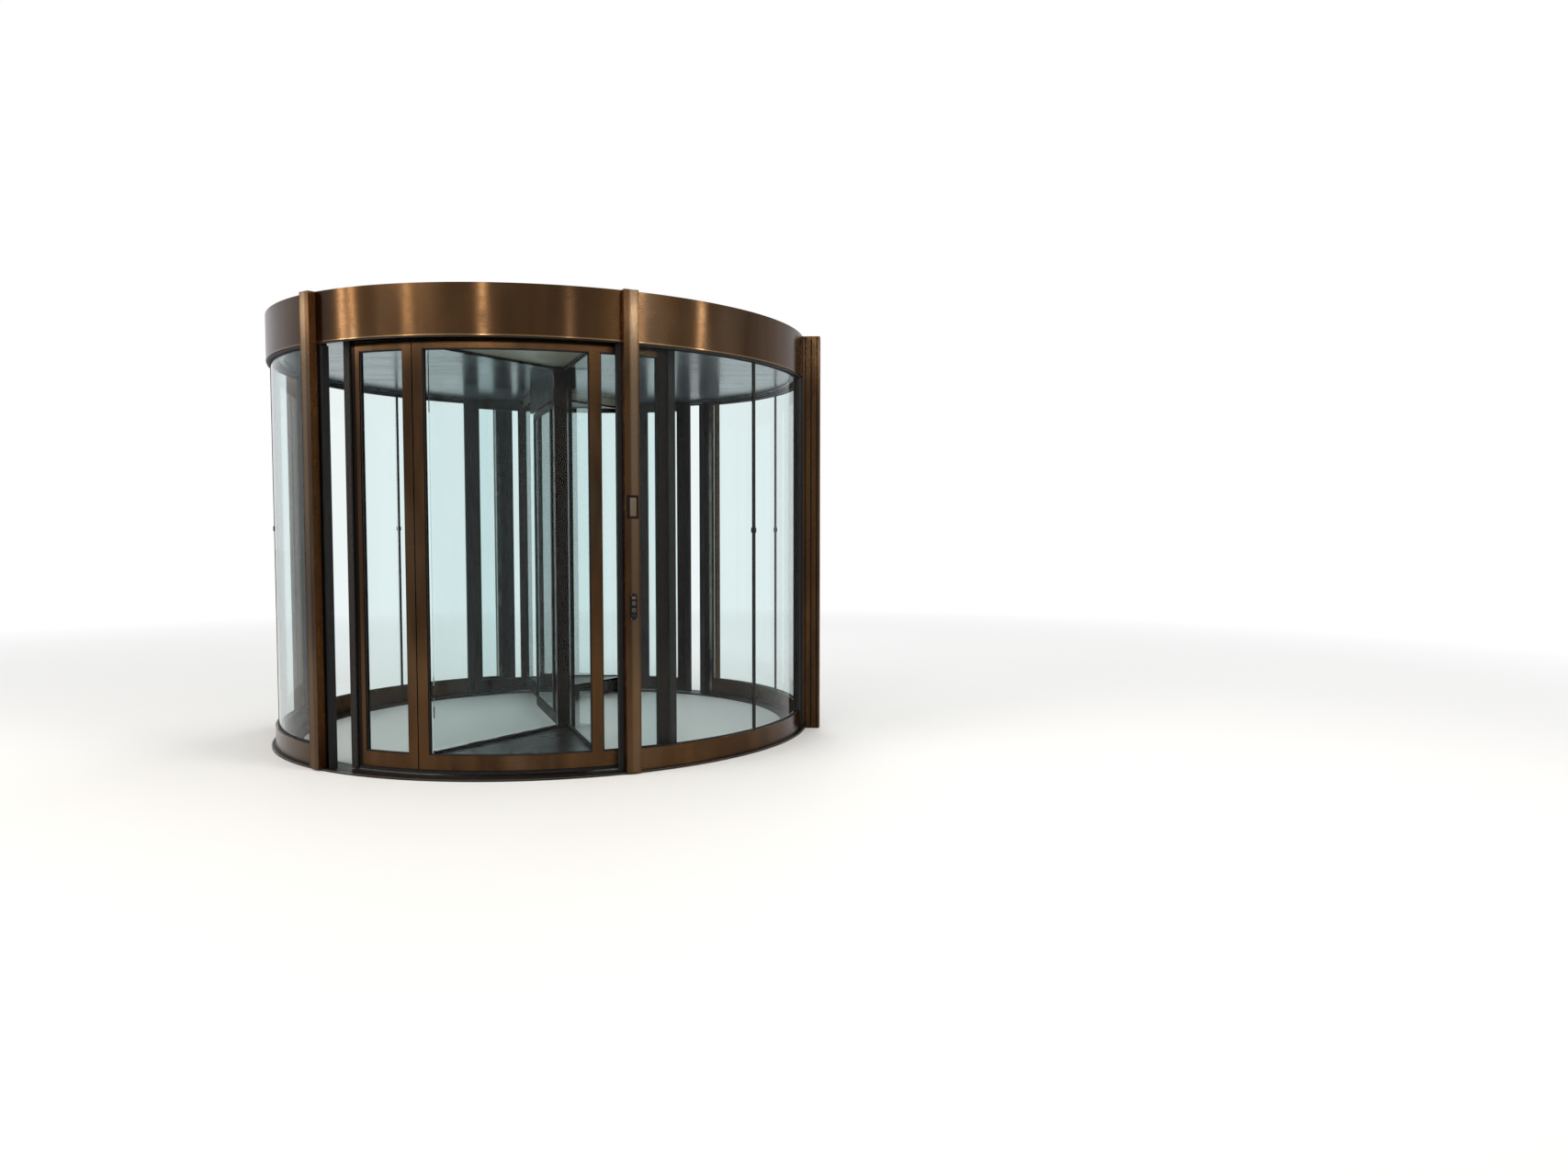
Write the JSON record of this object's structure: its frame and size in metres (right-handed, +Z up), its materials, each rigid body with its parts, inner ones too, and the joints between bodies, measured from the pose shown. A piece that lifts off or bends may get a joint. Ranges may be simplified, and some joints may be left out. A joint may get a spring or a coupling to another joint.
{
  "type": "two-wing revolving door",
  "caption": "Round automatic revolving door with curved glass walls, a rotor with display cases and a centre sliding door.",
  "frame": {"origin": "on the turning axis of the rotor, at floor level", "axes": "+Z up, -Y towards the lobby, X along the facade"},
  "size_m": [4.32, 4.0996, 3.108],
  "materials": {
    "bronze": "satin bronze-tinted stainless steel, brushed",
    "black": "near-black satin",
    "rubber": "matt black",
    "glass": "clear, faint green-blue edge",
    "pale": "pale grey satin panel",
    "steel": "plain steel"
  },
  "bodies": {
    "drum": {"floor_ring": "black", "post_front_left": "bronze", "post_front_right": "bronze", "post_back_left": "bronze", "post_back_right": "bronze", "wall_post_left": "bronze", "wall_post_right": "bronze", "base_rail_front_left": "bronze", "base_rail_front_right": "bronze", "base_rail_back_left": "bronze", "base_rail_back_right": "bronze", "drum_glass_front_left": "glass", "drum_glass_front_right": "glass", "drum_glass_back_left": "glass", "drum_glass_back_right": "glass", "glass_joint_seals": "rubber", "head_rails": "black", "track_ring": "steel", "fascia_front": "bronze", "fascia_back": "bronze", "fascia_front_left": "bronze", "fascia_front_right": "bronze", "fascia_back_left": "bronze", "fascia_back_right": "bronze", "canopy_roof": "pale", "safety_edges": "rubber", "call_plate": "black", "control_panel": "black"},
    "rotor": {"carrier_ring": "black", "rotor_rollers": "steel", "rotor_ceiling": "pale", "case_base_front": "bronze", "case_frame_front": "bronze", "case_glass_front": "glass", "wing_frames_front": "bronze", "wing_glass_front": "glass", "case_base_back": "bronze", "case_frame_back": "bronze", "case_glass_back": "glass", "wing_frames_back": "bronze", "wing_glass_back": "glass", "rotor_brushes": "rubber", "door_header": "black"},
    "leaf_front": {"leaf_frame_front": "black", "leaf_glass_front": "glass"},
    "leaf_back": {"leaf_frame_back": "black", "leaf_glass_back": "glass"}
  },
  "joints": [
    {"name": "rotor_spin", "type": "hinge", "parent": "drum", "child": "rotor", "pos_m": [0, 0, 0], "axis": [0, 0, 1], "continuous": true},
    {"name": "leaf_slide_front", "type": "slide", "parent": "rotor", "child": "leaf_front", "axis": [0.4337, -0.9011, 0], "range_m": [0, 0.88]},
    {"name": "leaf_slide_back", "type": "slide", "parent": "rotor", "child": "leaf_back", "axis": [-0.4337, 0.9011, 0], "range_m": [0, 0.88]}
  ],
  "couplings": [
    {"joint": "leaf_slide_back", "follows": "leaf_slide_front", "ratio": 1}
  ]
}
